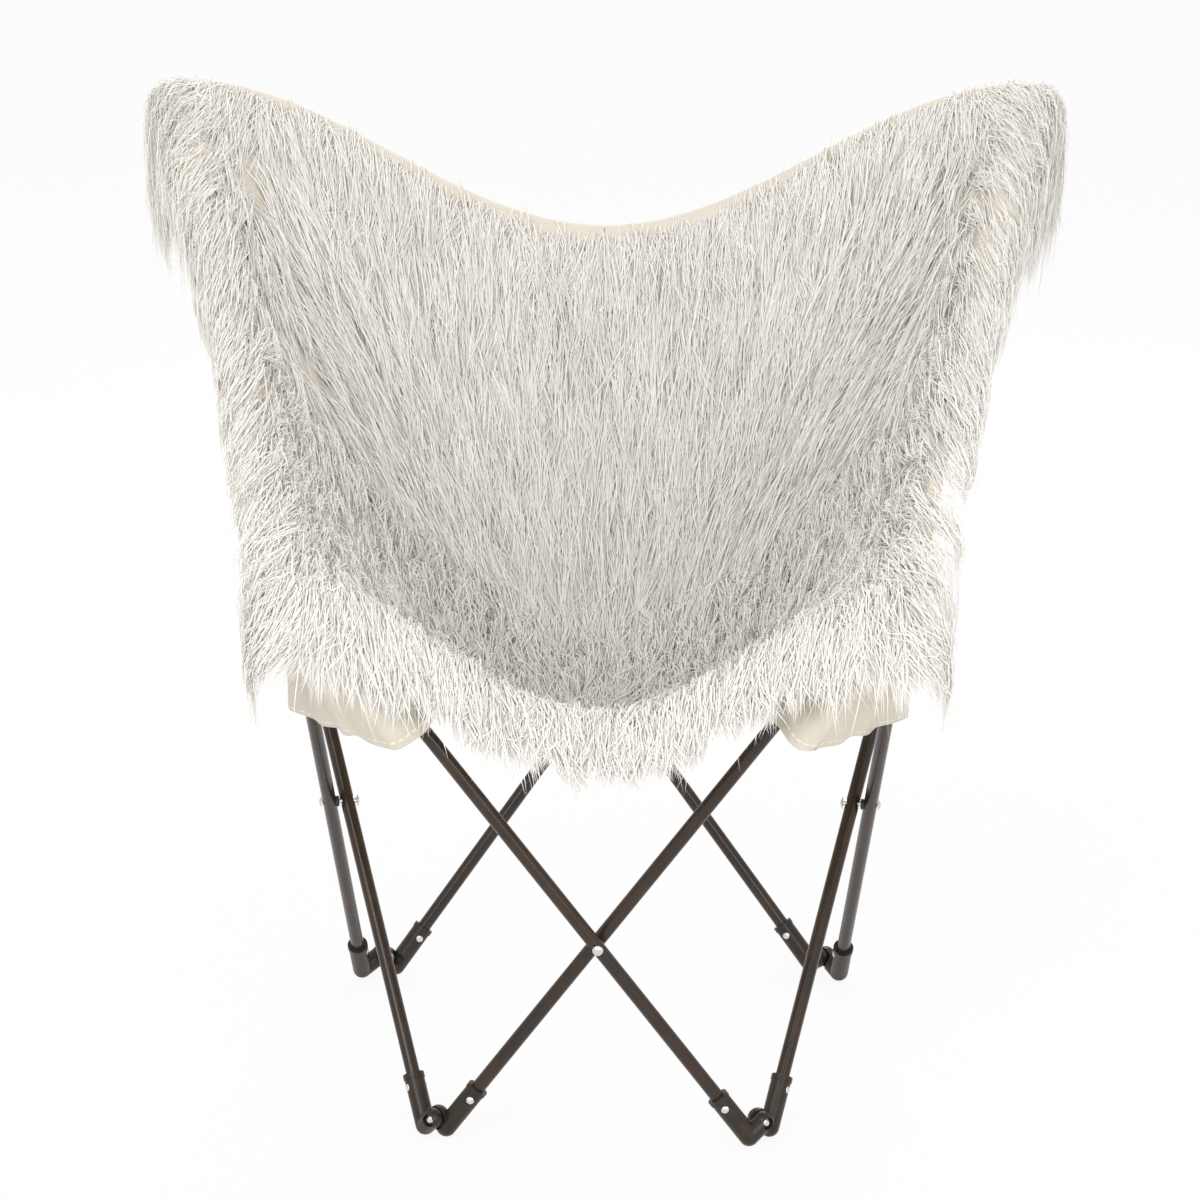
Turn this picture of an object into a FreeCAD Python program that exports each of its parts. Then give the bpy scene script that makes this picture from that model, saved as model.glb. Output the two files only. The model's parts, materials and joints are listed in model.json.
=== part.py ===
import FreeCAD, Part
import math
import os

# Folding butterfly chair: eight steel tubes in four X pairs, moulded elbows that lap at the feet and
# at the upper corners, and a long-pile sling cover that hangs from four corner pockets.
# +Z is up, the front faces -Y, and the origin is on the floor below the middle of the chair.

Vector = FreeCAD.Vector
up = Vector(0, 0, 1)

doc = FreeCAD.newDocument("ButterflyChair")
sheet = doc.addObject("Spreadsheet::Sheet", "Sizes")

# Lengths are in millimetres and angles in degrees.
sizes = [
    # linkage
    ("FrontFootSpread", 294.0),
    ("RearFootSpread", 429.0),
    ("ShortLink", 604.0),
    ("OpenTilt", 40.3),
    ("FoldedTilt", 9.5),
    ("ArmOffset", 13.0),
    ("SideLane", 9.0),
    ("LaneStep", 17.0),
    # tubes
    ("TubeDiameter", 13.0),
    ("TubeWall", 1.0),
    # elbows
    ("SocketWall", 2.8),
    ("SocketLength", 46.0),
    ("SocketFloor", 14.0),
    ("SocketFit", 0.1),
    ("LipHeight", 0.7),
    ("LipLength", 5.0),
    ("FootReach", 3.0),
    ("LapFloor", 3.0),
    ("KnuckleExtra", 0.4),
    ("LapGap", 2.4),
    ("LapShare", 3.2),
    ("LugThickness", 7.0),
    ("NotchGap", 2.0),
    ("ReliefGap", 0.8),
    ("FootFlat", 0.4),
    # rivets
    ("PivotDiameter", 5.0),
    ("PivotHead", 10.0),
    ("PivotCrown", 2.2),
    ("PivotFit", 0.1),
    ("RunningGap", 0.8),
    ("LooseHeadGap", 1.5),
    ("HeadLip", 1.5),
    ("SpotGap", 0.8),
    ("PinDiameter", 3.0),
    ("PinHead", 7.6),
    ("PinCrown", 1.5),
    ("PinSetback", 12.0),
    ("PinSeat", 0.9),
    ("SpacerDiameter", 10.0),
    ("SpacerGap", 0.2),
    ("SpacerPlay", 0.4),
    # cover
    ("CanvasThickness", 2.4),
    ("FurThickness", 12.0),
    ("LayerGap", 0.9),
    ("SeamGap", 0.5),
    ("FrontHemReach", 10.0),
    ("FrontHemHeight", 402.0),
    ("SeatHeight", 306.0),
    ("SeatDepth", 226.0),
    ("CreaseHeight", 362.0),
    ("CreaseDepth", 446.0),
    ("BackHeight", 540.0),
    ("BackDepth", 518.0),
    ("BackHemHeight", 722.0),
    ("BackHemDepth", 562.0),
    ("FrontCornerRise", 45.0),
    ("FrontCornerReach", 44.0),
    ("WingRise", 47.0),
    ("WingReach", 6.0),
    ("EdgeBow", 14.0),
    ("EdgeLean", 0.9),
    ("CreaseSetback", 9.0),
    ("LipDrop", 84.0),
    ("LipCornerDrop", 40.0),
    ("LipThickness", 18.0),
    ("PocketWall", 1.4),
    ("PocketGap", 0.5),
    ("PocketEase", 1.0),
    ("PocketLength", 100.0),
    ("PocketFlare", 4.0),
]
for row, (alias, value) in enumerate(sizes, start=1):
    sheet.set("A%d" % row, alias)
    sheet.set("B%d" % row, str(value))
    sheet.setAlias("B%d" % row, alias)
doc.recompute()


def size(alias):
    return float(sheet.get(alias))


tubeRadius = size("TubeDiameter") / 2
elbowRadius = tubeRadius + size("SocketWall")
knuckleRadius = elbowRadius + size("KnuckleExtra")
pivotRadius = size("PivotDiameter") / 2
pinRadius = size("PinDiameter") / 2
tilt = math.radians(size("OpenTilt"))
foldTurn = tilt - math.radians(size("FoldedTilt"))
# The round heel of each foot elbow is cut flat where it stands on the floor.
heelDrop = size("ArmOffset") * math.sin(tilt) + size("FootReach") * math.cos(tilt)
hingeHeight = heelDrop + elbowRadius - size("FootFlat")


def unit(vector):
    return vector / vector.Length


def flat(vector):
    return Vector(vector.x, vector.y, 0)


def linkage():
    # Every X keeps the same tilt, so the frame folds in plan towards a point. The front X is flat.
    front = size("FrontFootSpread") / 2
    rear = size("RearFootSpread") / 2
    shortReach = size("ShortLink") * math.sin(tilt)
    cornerFront = Vector(front - shortReach, 0, 0)
    depth = math.sqrt(shortReach ** 2 - (rear + cornerFront.x) ** 2)
    frontLeft = Vector(-front, 0, 0)
    frontRight = Vector(front, 0, 0)
    rearLeft = Vector(-rear, depth, 0)
    rearRight = Vector(rear, depth, 0)
    short = unit(cornerFront - rearLeft)
    side = unit(rearLeft - frontLeft)
    long = short - side * (2 * short.dot(side))
    diagonal = rearRight - frontLeft
    longReach = diagonal.dot(diagonal) / (2 * long.dot(diagonal))
    cornerRear = frontLeft + long * longReach
    riseFront = up * (shortReach / math.tan(tilt))
    riseRear = up * (longReach / math.tan(tilt))
    points = {
        "front_left_foot": frontLeft,
        "front_right_foot": frontRight,
        "rear_left_foot": rearLeft,
        "rear_right_foot": rearRight,
        "front_left_corner": cornerFront + riseFront,
        "front_right_corner": Vector(-cornerFront.x, cornerFront.y, 0) + riseFront,
        "rear_left_corner": cornerRear + riseRear,
        "rear_right_corner": Vector(-cornerRear.x, cornerRear.y, 0) + riseRear,
    }
    # Between the front of the fur fall and the back of the rear pockets.
    cornerAxis = unit((unit(cornerFront - frontRight) - unit(cornerFront - rearLeft)).cross(up))
    frontEnd = cornerFront.y - abs(cornerAxis.y) * size("FrontCornerReach") - size("LipThickness")
    bag = size("PocketEase") + size("PocketWall") + size("PocketFlare")
    rearEnd = cornerRear.y + size("LaneStep") + elbowRadius + bag
    middle = Vector(0, (frontEnd + rearEnd) / 2, -hingeHeight)
    return {name: point - middle for name, point in points.items()}


hinges = linkage()
frontLine = hinges["front_left_foot"].y
centre = Vector(0, 0, 0)


class Tube:
    # A tube's hinges at the foot and the top, and the axes of the line between them.
    def __init__(self, name, foot, top):
        self.name = name
        self.foot = hinges[foot]
        self.top = hinges[top]
        self.azimuth = unit(flat(self.top - self.foot))
        self.turn = self.azimuth.cross(up)
        self.fall = self.azimuth * math.cos(tilt) - up * math.sin(tilt)

    def axisPoint(self, end):
        return self.start if end == "foot" else self.end

    def inward(self, end):
        along = unit(self.end - self.start)
        return along if end == "foot" else -along


class Crossing:
    # The two tubes of an X share a pivot axis, and each runs in its own lane outward along it.
    def __init__(self, name, inner, outer, innerLane, outerLane, outward):
        self.name = name
        self.inner = inner
        self.outer = outer
        self.innerLane = innerLane
        self.outerLane = outerLane
        self.axis = unit(outer.turn - inner.turn)
        if self.axis.dot(outward) < 0:
            self.axis = -self.axis
        self.wander = (1 - math.cos(foldTurn)) * abs(inner.azimuth.cross(outer.azimuth).z)
        first = inner.top - inner.foot
        second = outer.top - outer.foot
        between = outer.foot - inner.foot
        square = first.cross(second)
        share = between.cross(second).dot(square) / square.dot(square)
        self.point = inner.foot + first * share
        self.setLane(inner, innerLane)
        self.setLane(outer, outerLane)

    def setLane(self, tube, lane):
        share = (self.point - tube.foot).Length / (tube.top - tube.foot).Length
        sideways = tube.turn * (self.axis.dot(tube.turn) * lane)
        armOffset = size("ArmOffset")
        topOffset = armOffset + (self.axis.dot(tube.fall) * lane - armOffset) / share
        tube.start = tube.foot + sideways + tube.fall * armOffset
        tube.end = tube.top + sideways + tube.fall * topOffset


class Hinge:
    # Two elbows lap at a foot or a corner, one outside the other, on one rivet.
    def __init__(self, name, first, second):
        self.name = name
        self.end = {first[0]: first[1], second[0]: second[1]}
        one = first[0]
        two = second[0]
        self.point = hinges[name]
        self.axis = unit(one.turn - two.turn)
        if self.axis.dot(flat(self.point) - centre) < 0:
            self.axis = -self.axis
        place = {}
        for tube, which in self.end.items():
            place[tube] = (tube.axisPoint(which) - self.point).dot(self.axis)
        self.outer, self.inner = (one, two) if place[one] > place[two] else (two, one)
        # The knuckle stands clear of both sockets, outside the pivot point.
        self.lap = max((place[one] + place[two]) / 2, size("LapFloor"))
        self.wander = (1 - math.cos(foldTurn)) * abs(one.azimuth.cross(two.azimuth).z)
        reach = size("LapGap") / 2 + size("LugThickness")
        # The rivet is loose in the lug that lies nearer to the pivot point.
        self.loose = self.outer if abs(self.lap + reach) < abs(self.lap - reach) else self.inner
        self.fixed = self.inner if self.loose is self.outer else self.outer
        far = max(abs(self.lap + self.side(self.loose) * reach),
                  abs(self.lap + self.side(self.loose) * size("LapGap") / 2))
        self.slack = far * math.tan(self.wander) + size("RunningGap")

    def side(self, tube):
        return 1 if tube is self.outer else -1

    def at(self, distance):
        return self.point + self.axis * (self.lap + distance)


frontLeftTube = Tube("front_tube_left", "front_left_foot", "front_right_corner")
frontRightTube = Tube("front_tube_right", "front_right_foot", "front_left_corner")
leftLongTube = Tube("left_tube_long", "front_left_foot", "rear_left_corner")
leftShortTube = Tube("left_tube_short", "rear_left_foot", "front_left_corner")
rightLongTube = Tube("right_tube_long", "front_right_foot", "rear_right_corner")
rightShortTube = Tube("right_tube_short", "rear_right_foot", "front_right_corner")
rearLeftTube = Tube("rear_tube_left", "rear_left_foot", "rear_right_corner")
rearRightTube = Tube("rear_tube_right", "rear_right_foot", "rear_left_corner")
tubes = [frontLeftTube, frontRightTube, leftLongTube, leftShortTube,
         rightLongTube, rightShortTube, rearLeftTube, rearRightTube]

step = size("LaneStep")
sideLane = size("SideLane")
crossings = [
    Crossing("front_crossing", frontLeftTube, frontRightTube, 0, step, Vector(0, -1, 0)),
    Crossing("left_crossing", leftLongTube, leftShortTube, sideLane, sideLane + step, Vector(-1, 0, 0)),
    Crossing("right_crossing", rightLongTube, rightShortTube, sideLane, sideLane + step, Vector(1, 0, 0)),
    Crossing("rear_crossing", rearLeftTube, rearRightTube, 0, step, Vector(0, 1, 0)),
]
feet = [
    Hinge("front_left_foot", (frontLeftTube, "foot"), (leftLongTube, "foot")),
    Hinge("front_right_foot", (frontRightTube, "foot"), (rightLongTube, "foot")),
    Hinge("rear_left_foot", (rearLeftTube, "foot"), (leftShortTube, "foot")),
    Hinge("rear_right_foot", (rearRightTube, "foot"), (rightShortTube, "foot")),
]
corners = [
    Hinge("front_left_corner", (frontRightTube, "end"), (leftShortTube, "end")),
    Hinge("front_right_corner", (frontLeftTube, "end"), (rightShortTube, "end")),
    Hinge("rear_left_corner", (rearRightTube, "end"), (leftLongTube, "end")),
    Hinge("rear_right_corner", (rearLeftTube, "end"), (rightLongTube, "end")),
]
nodes = []


def feature(name, shape):
    item = doc.addObject("Part::Feature", name)
    item.Label = name
    item.Shape = shape
    nodes.append(item)
    return item


def turned(base, direction):
    return FreeCAD.Placement(base, FreeCAD.Rotation(up, direction))


def rod(name, base, direction, length, radius):
    # A cylinder whose radius follows the sheet.
    item = doc.addObject("Part::Cylinder", name)
    item.setExpression("Radius", radius)
    item.Height = length
    item.Placement = turned(base, direction)
    return item


def difference(name, base, tools):
    tool = tools[0]
    if len(tools) > 1:
        tool = doc.addObject("Part::MultiFuse", name + "_tools")
        tool.Shapes = tools
    item = doc.addObject("Part::Cut", name)
    item.Base = base
    item.Tool = tool
    item.Label = name
    nodes.append(item)
    return item


def drill(centrePoint, direction, radius, length):
    return Part.makeCylinder(radius, length, centrePoint - direction * (length / 2), direction)


def rivetHead(base, axis, radius, crown):
    # A head with a bevelled crown.
    shoulder = 0.4 * crown
    brow = 0.88 * radius
    rim = Part.makeCone(radius, brow, shoulder, base, axis)
    return rim.fuse(Part.makeCone(brow, 0.45 * radius, crown - shoulder, base + axis * shoulder, axis))


def rivet(centrePoint, axis, low, high, shank, lowHead, highHead, crown):
    # A rivet with a head at each end, along the axis from low to high.
    base = centrePoint + axis * low
    body = Part.makeCylinder(shank, high - low, base, axis)
    return body.fuse([rivetHead(base, -axis, lowHead, crown),
                      rivetHead(centrePoint + axis * high, axis, highHead, crown)]).removeSplitter()


def pinPlace(tube, end):
    # Where a cross rivet holds a tube end in its socket, and the rivet's level direction.
    along = tube.inward(end)
    point = tube.axisPoint(end) + along * (size("SocketLength") - size("PinSetback"))
    return point, unit(along.cross(up))


def makeTube(tube):
    along = unit(tube.end - tube.start)
    inset = size("SocketFloor")
    first = tube.start + along * inset
    length = (tube.end - tube.start).Length - 2 * inset
    outside = rod(tube.name + "_outside", first, along, length, "Sizes.TubeDiameter / 2")
    tools = [rod(tube.name + "_bore", first, along, length, "Sizes.TubeDiameter / 2 - Sizes.TubeWall")]
    for end in ("foot", "end"):
        point, level = pinPlace(tube, end)
        base = point - level * size("TubeDiameter")
        tools.append(rod(tube.name + "_" + end + "_hole", base, level, 2 * size("TubeDiameter"),
                         "Sizes.PinDiameter / 2 + Sizes.PivotFit"))
    for crossing in crossings:
        if tube in (crossing.inner, crossing.outer):
            base, radius = crossingHole(crossing, tube)
            hole = rod(tube.name + "_pivot_hole", base, crossing.axis, 2 * size("TubeDiameter"),
                       "Sizes.PivotDiameter / 2 + Sizes.PivotFit")
            if radius is not None:
                hole.setExpression("Radius", None)
                hole.Radius = radius
            tools.append(hole)
    difference(tube.name, outside, tools)


def crossingFixed(crossing):
    # The front rivet is fixed in the inner tube, the others in the outer one.
    return crossing.inner if crossing.name == "front_crossing" else crossing.outer


def crossingSlack(crossing):
    lane = crossing.outerLane if crossingFixed(crossing) is crossing.inner else crossing.innerLane
    return (lane + tubeRadius) * math.tan(crossing.wander) + size("RunningGap")


def crossingHole(crossing, tube):
    lane = crossing.innerLane if tube is crossing.inner else crossing.outerLane
    base = crossing.point + crossing.axis * (lane - size("TubeDiameter"))
    if tube is crossingFixed(crossing):
        return base, None
    return base, pivotRadius + crossingSlack(crossing)


def lean(crossing, tube):
    # How far the tube's side climbs along the pivot axis, per length across it.
    slant = tube.inward("foot").dot(crossing.axis)
    return abs(slant) / math.sqrt(1 - slant ** 2)


def crest(crossing, tube):
    # Half the tube's width along the slanting pivot axis.
    return tubeRadius * math.sqrt(1 + lean(crossing, tube) ** 2)


def makeCrossing(crossing):
    fixed = crossingFixed(crossing)
    loose = crossing.inner if fixed is crossing.outer else crossing.outer
    looseHead = max(size("PivotHead") / 2, pivotRadius + crossingSlack(crossing) + size("HeadLip"))
    heads = {fixed: size("PivotHead") / 2, loose: looseHead}
    gaps = {tube: heads[tube] * lean(crossing, tube) for tube in heads}
    gaps[loose] += size("LooseHeadGap")
    inner = crossing.inner
    outer = crossing.outer
    low = crossing.innerLane - crest(crossing, inner) - gaps[inner]
    high = crossing.outerLane + crest(crossing, outer) + gaps[outer]
    feature(crossing.name + "_rivet",
            rivet(crossing.point, crossing.axis, low, high, pivotRadius, heads[inner], heads[outer],
                  size("PivotCrown")))
    makeSpacer(crossing, fixed, loose)


def makeSpacer(crossing, fixed, loose):
    # A washer with a saddle for the tube that it sits on and a flat face towards the other.
    lanes = {crossing.inner: crossing.innerLane, crossing.outer: crossing.outerLane}
    way = 1 if fixed is crossing.inner else -1
    spread = size("SpacerDiameter") / 2 * (lean(crossing, loose) + math.tan(crossing.wander))
    flatFace = lanes[loose] - way * (crest(crossing, loose) + size("SpacerPlay") + spread)
    name = crossing.name + "_spacer"
    base = crossing.point + crossing.axis * lanes[fixed]
    length = abs(flatFace - lanes[fixed])
    ring = rod(name + "_outside", base, crossing.axis * way, length, "Sizes.SpacerDiameter / 2")
    hole = rod(name + "_hole", base, crossing.axis * way, length, "Sizes.PivotDiameter / 2 + Sizes.PivotFit")
    along = fixed.inward("foot")
    reach = 2 * size("SpacerDiameter")
    saddleRadius = "Sizes.TubeDiameter / 2 + Sizes.SpacerGap"
    saddle = rod(name + "_saddle", base - along * reach, along, 2 * reach, saddleRadius)
    difference(name, ring, [hole, saddle])


def bentBar(mouth, heel, tip, radius):
    # A round bar from the mouth to a ball heel, and on to the tip.
    socket = Part.makeCylinder(radius, (mouth - heel).Length, heel, mouth - heel)
    arm = Part.makeCylinder(radius, (tip - heel).Length, heel, tip - heel)
    return socket.fuse([arm, Part.makeSphere(radius, heel)])


def elbowTip(hinge, tube):
    return hinge.at(hinge.side(tube) * (size("LapGap") / 2 + size("LapShare")))


def elbowBar(hinge, tube, radius):
    end = hinge.end[tube]
    corner = tube.axisPoint(end)
    along = tube.inward(end)
    heel = corner - along * (size("FootReach") if end == "foot" else 0)
    return bentBar(corner + along * size("SocketLength"), heel, elbowTip(hinge, tube), radius)


def folded(tube, turn):
    # Where a tube stands once it has turned towards upright: the feet draw in towards the front left one.
    hub = hinges["front_left_foot"]
    foot = hub + (tube.foot - hub) * (math.sin(tilt - turn) / math.sin(tilt))
    rotation = FreeCAD.Rotation(tube.turn, math.degrees(turn))
    return FreeCAD.Placement(foot - rotation.multVec(tube.foot), rotation)


def reliefs(hinge):
    # The room that the inner elbow takes up beside the outer one, at four stages of the fold.
    rooms = []
    for stage in range(4):
        turn = foldTurn * stage / 3
        room = elbowBar(hinge, hinge.inner, elbowRadius + size("ReliefGap"))
        room.Placement = folded(hinge.outer, turn).inverse().multiply(folded(hinge.inner, turn))
        rooms.append(room)
    return rooms


def makeElbow(hinge, tube):
    end = hinge.end[tube]
    side = hinge.side(tube)
    corner = tube.axisPoint(end)
    along = tube.inward(end)
    mouth = corner + along * size("SocketLength")
    tip = elbowTip(hinge, tube)
    shape = elbowBar(hinge, tube, elbowRadius)
    shape = shape.fuse(Part.makeSphere(knuckleRadius, tip))
    shape = shape.fuse(Part.makeCylinder(elbowRadius + size("LipHeight"), size("LipLength"),
                                         mouth - along * size("LipLength"), along))
    reach = 4 * knuckleRadius
    lapFace = side * size("LapGap") / 2
    spotFace = lapFace + side * size("LugThickness")
    cuts = [
        Part.makeCylinder(knuckleRadius + size("NotchGap"), reach, hinge.at(lapFace), hinge.axis * -side),
        Part.makeCylinder(spotRadius(hinge, tube), reach, hinge.at(spotFace), hinge.axis * side),
        drill(hinge.at(0), hinge.axis, holeRadius(hinge, tube), reach),
        Part.makeCylinder(tubeRadius + size("SocketFit"), size("SocketLength"),
                          corner + along * size("SocketFloor"), along),
    ]
    point, level = pinPlace(tube, end)
    cuts.append(drill(point, level, pinRadius + size("PivotFit"), reach))
    for way in (level, -level):
        cuts.append(Part.makeCylinder(size("PinHead") / 2 + size("SpotGap") / 2, reach,
                                      point + way * (elbowRadius - size("PinSeat")), way))
    if end == "foot":
        cuts.append(Part.makeBox(8 * reach, 8 * reach, reach,
                                 Vector(corner.x - 4 * reach, corner.y - 4 * reach, -reach)))
    if tube is hinge.outer:
        # Only beyond the lap: within it the two knuckles lie side by side.
        lap = Part.makeCylinder(knuckleRadius + size("NotchGap"), reach, hinge.at(0), hinge.axis)
        cuts += [room.cut(lap) for room in reliefs(hinge)]
    name = tube.name + ("_foot_elbow" if end == "foot" else "_top_elbow")
    feature(name, shape.cut(cuts))


def holeRadius(hinge, tube):
    return pivotRadius + (hinge.slack if tube is hinge.loose else size("PivotFit"))


def headRadius(hinge, tube):
    if tube is hinge.fixed:
        return size("PivotHead") / 2
    return max(size("PivotHead") / 2, holeRadius(hinge, tube) + size("HeadLip"))


def spotRadius(hinge, tube):
    return headRadius(hinge, tube) + (hinge.slack if tube is hinge.loose else size("SpotGap"))


def makeHingeRivet(hinge):
    reach = size("LapGap") / 2 + size("LugThickness")
    low = reach + (size("LooseHeadGap") if hinge.loose is hinge.inner else 0)
    high = reach + (size("LooseHeadGap") if hinge.loose is hinge.outer else 0)
    feature(hinge.name + "_rivet",
            rivet(hinge.at(0), hinge.axis, -low, high, pivotRadius, headRadius(hinge, hinge.inner),
                  headRadius(hinge, hinge.outer), size("PivotCrown")))


def makePins(tube):
    # The two cross rivets of a tube, one in each socket.
    seat = elbowRadius - size("PinSeat")
    pins = []
    for end in ("foot", "end"):
        point, level = pinPlace(tube, end)
        pins.append(rivet(point, level, -seat, seat, pinRadius, size("PinHead") / 2, size("PinHead") / 2,
                          size("PinCrown")))
    feature(tube.name + "_socket_rivets", Part.makeCompound(pins))


def inChair(depth, height):
    # A point of the cover's middle profile, behind the front hinge line and above the floor.
    return Vector(0, frontLine + depth, height)


def cornerPoint(hinge, reach, rise):
    return hinge.point + hinge.axis * reach + up * rise


def outwardRun(line, share):
    # A cross curve of the sling and its direction: level at the middle, and level again at a corner.
    middle, edge, cornered = line
    lift = (1 - math.cos(math.pi * share)) / 2 if cornered else share ** 2
    slope = math.pi / 2 * math.sin(math.pi * share) if cornered else 2 * share
    run = edge - middle
    point = middle + Vector(run.x * share, run.y * lift, run.z * lift)
    return point, Vector(run.x, run.y * slope, run.z * slope)


def edgeNormal(side):
    return unit(Vector(-side * size("EdgeLean"), 0, 1))


def slingLines(side):
    # The five cross curves of one half of the sling: middle point, edge point, whether it ends at a corner.
    front = corners[0 if side < 0 else 1]
    rear = corners[2 if side < 0 else 3]
    frontEdge = cornerPoint(front, size("FrontCornerReach"), size("FrontCornerRise"))
    wing = cornerPoint(rear, size("WingReach"), size("WingRise"))
    lean = unit(wing - frontEdge)
    bow = edgeNormal(side)
    bow = unit(bow - lean * bow.dot(lean)) * size("EdgeBow")
    crease = (frontEdge + wing) / 2 + bow
    return {
        "front": (inChair(-size("FrontHemReach"), size("FrontHemHeight")), frontEdge, True),
        "seat": (inChair(size("SeatDepth"), size("SeatHeight")), (frontEdge + crease) / 2 + bow / 4, False),
        "crease": (inChair(size("CreaseDepth"), size("CreaseHeight")), crease, False),
        "back": (inChair(size("BackDepth"), size("BackHeight")), (wing + crease) / 2 + bow / 4, False),
        "hem": (inChair(size("BackHemDepth"), size("BackHemHeight")), wing, True),
        "normal": unit(bow),
    }


def threeArc(points):
    return Part.Arc(points[0], points[1], points[2]).toShape()


def stripWire(lines, names, side, share, low, high, skipStart, skipEnd):
    # One section along the sling: an arc through three cross curves, between two depths above it.
    runs = [outwardRun(lines[name], share) for name in names]
    points = [run[0] for run in runs]
    circle = threeArc(points).Curve
    spin = (points[1] - points[0]).cross(points[2] - points[1])
    along = [unit(spin.cross(point - circle.Center)) for point in points]
    points[0] = points[0] + along[0] * skipStart
    points[2] = points[2] - along[2] * skipEnd
    if share < 1:
        normals = [unit(way.cross(run[1])) * -side for way, run in zip(along, runs)]
    else:
        normals = [lines["normal"]] * 3
    bottom = [point + normal * low for point, normal in zip(points, normals)]
    top = [point + normal * high for point, normal in zip(points, normals)]
    return Part.Wire([
        threeArc(bottom),
        Part.makeLine(bottom[2], top[2]),
        threeArc(top[::-1]),
        Part.makeLine(top[0], bottom[0]),
    ])


shares = (-1.0, -0.75, -0.4, 0.0, 0.4, 0.75, 1.0)


def sling(names, low, high, skipStart, skipEnd):
    # The seat or the back over its whole width.
    wires = []
    for share in shares:
        side = -1 if share < 0 else 1
        wires.append(stripWire(slingLines(side), names, side, abs(share), low, high, skipStart, skipEnd))
    return Part.makeLoft(wires, True, False)


seatNames = ("front", "seat", "crease")
backNames = ("crease", "back", "hem")


def fallWire(share):
    # The fringe of fur that falls over the front hem, at one share of the half width.
    top = outwardRun(slingLines(-1 if share < 0 else 1)["front"], abs(share))[0]
    drop = size("LipDrop") + (size("LipCornerDrop") - size("LipDrop")) * share ** 2
    thick = size("LipThickness")
    crown = size("FurThickness")
    points = [
        top + Vector(0, size("FurThickness"), crown),
        top + Vector(0, -thick * 0.45, crown * 0.9),
        top + Vector(0, -thick, 0),
        top + Vector(0, -thick * 0.9, -drop),
        top + Vector(0, -thick * 0.3, -drop),
        top + Vector(0, -size("LayerGap") - size("CanvasThickness"), 0),
        top + Vector(0, size("FurThickness"), size("CanvasThickness")),
    ]
    return Part.makePolygon(points + points[:1])


def makeCover():
    above = -size("CanvasThickness") - size("PocketGap")
    for hinge in corners:
        names = seatNames if "front" in hinge.name else backNames
        slab = sling(names, above, size("PocketLength"), 0, 0)
        cap = pocketCap(hinge, size("PocketWall"), 0)
        feature(hinge.name + "_pocket", cap.cut([pocketCap(hinge, 0, size("PocketWall")), slab]))
    half = size("SeamGap") / 2
    canvas = -size("CanvasThickness")
    feature("seat_canvas", sling(seatNames, canvas, 0, 0, half))
    feature("back_canvas", sling(backNames, canvas, 0, half, 0))
    low = size("LayerGap")
    high = low + size("FurThickness")
    fall = Part.makeLoft([fallWire(share) for share in shares], True, False)
    lining = sling(seatNames, canvas - low, low / 2, -low, 0)
    bags = [pocketCap(hinge, size("PocketWall") + size("PocketGap"), 0) for hinge in corners[:2]]
    seat = sling(seatNames, low, high, 0, half).fuse(fall.cut([lining] + bags))
    back = sling(backNames, low, high, size("CreaseSetback"), 0)
    for side, word in ((-1, "left"), (1, "right")):
        feature("seat_fur_" + word, seat.cut(otherHalf(side)))
        feature("back_fur_" + word, back.cut(otherHalf(side)))


def otherHalf(side):
    # All that lies beyond the centre seam from one side of the chair.
    reach = 2 * size("ShortLink")
    start = -size("SeamGap") / 2 if side < 0 else size("SeamGap") / 2 - reach
    return Part.makeBox(reach, 2 * reach, reach, Vector(start, -reach, 0))


def roundedWire(middle, wide, deep, halfWide, halfDeep, corner):
    # A rectangle with round corners across a pocket.
    bulge = corner * math.sqrt(0.5)

    def at(x, y):
        return middle + wide * x + deep * y

    edges = []
    for signX, signY in ((1, 1), (-1, 1), (-1, -1), (1, -1)):
        x = signX * (halfWide - corner)
        y = signY * (halfDeep - corner)
        ends = [at(x + signX * corner, y), at(x, y + signY * corner)]
        if signX * signY < 0:
            ends.reverse()
        if edges:
            edges.append(Part.makeLine(edges[-1].Vertexes[-1].Point, ends[0]))
        edges.append(threeArc([ends[0], at(x + signX * bulge, y + signY * bulge), ends[1]]))
    edges.append(Part.makeLine(edges[-1].Vertexes[-1].Point, edges[0].Vertexes[0].Point))
    return Part.Wire(edges)


def pocketCap(hinge, extra, longer):
    # The bag over the two top elbows, open where the tubes come out, grown by an extra thickness.
    pair = (hinge.outer, hinge.inner)
    rise = unit(pair[0].inward("end") + pair[1].inward("end")) * -1
    wide = up.cross(hinge.axis)
    wide = unit(wide - rise * wide.dot(rise))
    deep = rise.cross(wide)
    upper = [tube.axisPoint("end") for tube in pair] + [elbowTip(hinge, tube) for tube in pair]
    lower = [tube.axisPoint("end") + tube.inward("end") * size("PocketLength") for tube in pair]
    top = max(point.dot(rise) for point in upper)
    ball = knuckleRadius + size("LipHeight") + size("PocketEase")

    def ring(level, points, grow, corner):
        xs = [point.dot(wide) for point in points]
        ys = [point.dot(deep) for point in points]
        spot = rise * level + wide * (min(xs) + max(xs)) / 2 + deep * (min(ys) + max(ys)) / 2
        halfWide = (max(xs) - min(xs)) / 2 + grow
        halfDeep = (max(ys) - min(ys)) / 2 + grow
        return roundedWire(spot, wide, deep, halfWide, halfDeep, corner)

    grow = ball + extra
    return Part.makeLoft([
        ring(top - size("PocketLength") - longer, upper + lower, grow + size("PocketFlare"), grow),
        ring(top, upper, grow, grow * 0.9),
        ring(top + 0.6 * grow, upper, 0.85 * grow, grow * 0.8),
        ring(top + grow, upper, 0.5 * grow, grow * 0.45),
    ], True, True)


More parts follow.
